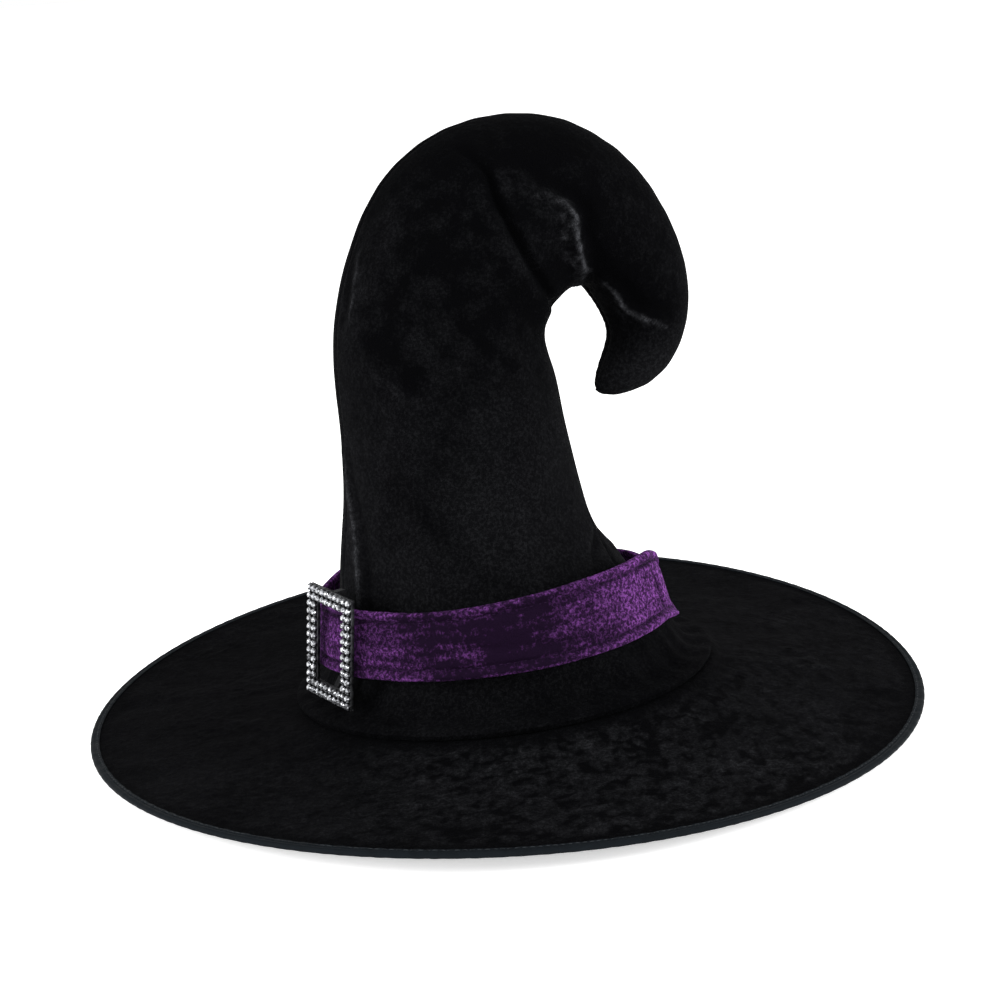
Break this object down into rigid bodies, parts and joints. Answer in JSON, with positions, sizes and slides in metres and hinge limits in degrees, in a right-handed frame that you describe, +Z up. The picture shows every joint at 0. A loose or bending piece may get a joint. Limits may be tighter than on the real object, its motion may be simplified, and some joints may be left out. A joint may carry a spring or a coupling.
{
  "type": "witch hat",
  "caption": "Pointed costume hat with a hooked, slouching crown, a wide wired brim, a loose hat band and a stone-set slide buckle that moves along it.",
  "frame": {"origin": "centre of the rim on the plane that the hat lies on, at the bottom centre of its box", "axes": "+Z up; +X the side that the tip hooks over to; -Y the side that faces a viewer who has the tip on the right"},
  "size_m": [0.3999, 0.4, 0.2759],
  "materials": {
    "black_velvet": "crushed velvet",
    "foam": "matte foam",
    "lining": "plain weave",
    "black_thread": "thread",
    "wadding": "fibre fill",
    "felt": "stiff felt",
    "wire": "drawn wire",
    "binding_tape": "satin",
    "binding_thread": "thread",
    "ribbon": "grosgrain",
    "purple_velvet": "crushed velvet",
    "interfacing": "non-woven",
    "purple_thread": "thread",
    "silver_plastic": "silver coated",
    "silver_foil": "mirror coated",
    "clear_stone": "faceted, foil backed"
  },
  "bodies": {
    "hat": {"crown_near_panel": "black_velvet", "crown_far_panel": "black_velvet", "crown_near_foam": "foam", "crown_far_foam": "foam", "crown_near_lining": "lining", "crown_far_lining": "lining", "crown_seam_stitching": "black_thread", "tip_stuffing": "wadding", "brim_top_velvet": "black_velvet", "brim_core": "felt", "brim_under_fabric": "lining", "brim_wire": "wire", "wire_ferrule": "wire", "brim_binding": "binding_tape", "binding_stitching": "binding_thread", "crown_brim_stitching": "black_thread", "sweatband": "ribbon", "sweatband_stitching": "black_thread"},
    "band": {"hatband": "purple_velvet", "hatband_interfacing": "interfacing", "hatband_upper_stitching": "purple_thread", "hatband_lower_stitching": "purple_thread", "hatband_lap_stitching": "purple_thread"},
    "buckle": {"buckle_frame": "silver_plastic", "buckle_bar": "silver_plastic", "stone_settings": "silver_foil", "rhinestones": "clear_stone"}
  },
  "joints": [
    {"name": "hatband_turn", "type": "hinge", "parent": "hat", "child": "band", "pos_m": [-0.003, 0, 0.01188], "axis": [-0.04, 0.0698, 0.9968], "continuous": true},
    {"name": "buckle_slide", "type": "hinge", "parent": "band", "child": "buckle", "pos_m": [-0.003, 0, 0.01188], "axis": [-0.04, 0.0698, 0.9968], "range_deg": [-80, 95]}
  ]
}
